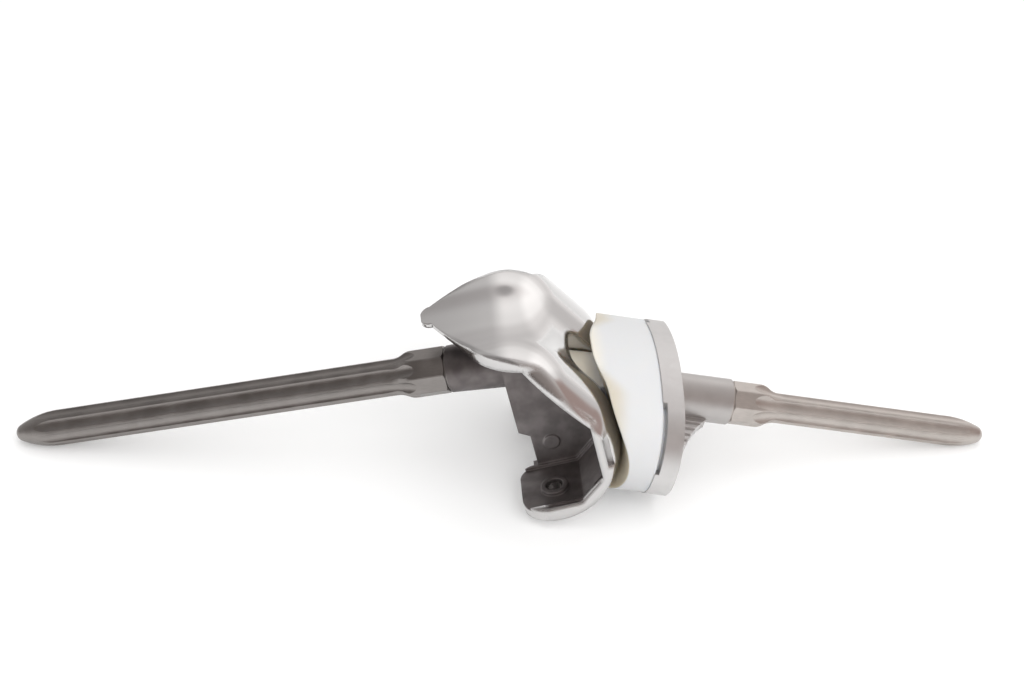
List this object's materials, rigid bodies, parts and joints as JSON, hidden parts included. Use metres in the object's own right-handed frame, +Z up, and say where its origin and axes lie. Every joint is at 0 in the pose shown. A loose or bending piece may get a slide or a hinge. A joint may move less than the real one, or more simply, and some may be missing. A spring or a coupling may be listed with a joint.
{
  "type": "stemmed revision knee prosthesis",
  "caption": "Revision total knee prosthesis: polished femoral component with box, post-stabilised insert, tibial tray, and fluted stems on both, flexing at the knee.",
  "frame": {"origin": "middle of the box's bottom face, on the table that the prosthesis lies on", "axes": "+Z up, +X from the femoral stem's end to the tibial stem's end, +Y across the knee away from the picture's camera"},
  "size_m": [0.3208, 0.074, 0.059],
  "materials": {
    "cobalt_chrome": "mirror polished outside, fine blasted on the bone side",
    "femoral_stem_metal": "satin machined titanium alloy",
    "tray_metal": "matte blasted",
    "polyethylene": "smooth machined",
    "tibial_stem_metal": "satin machined titanium alloy",
    "screw_metal": "satin turned"
  },
  "bodies": {
    "tibial_side": {"tibial_tray": "tray_metal", "tibial_insert": "polyethylene", "tibial_stem": "tibial_stem_metal", "post_screw": "screw_metal"},
    "femoral_side": {"femoral_component": "cobalt_chrome", "femoral_stem": "femoral_stem_metal"}
  },
  "joints": [
    {"name": "knee_flexion", "type": "hinge", "parent": "tibial_side", "child": "femoral_side", "pos_m": [0.01291, 0, 0.0236], "axis": [0, -1, 0], "range_deg": [-27.3, 81.5]}
  ]
}
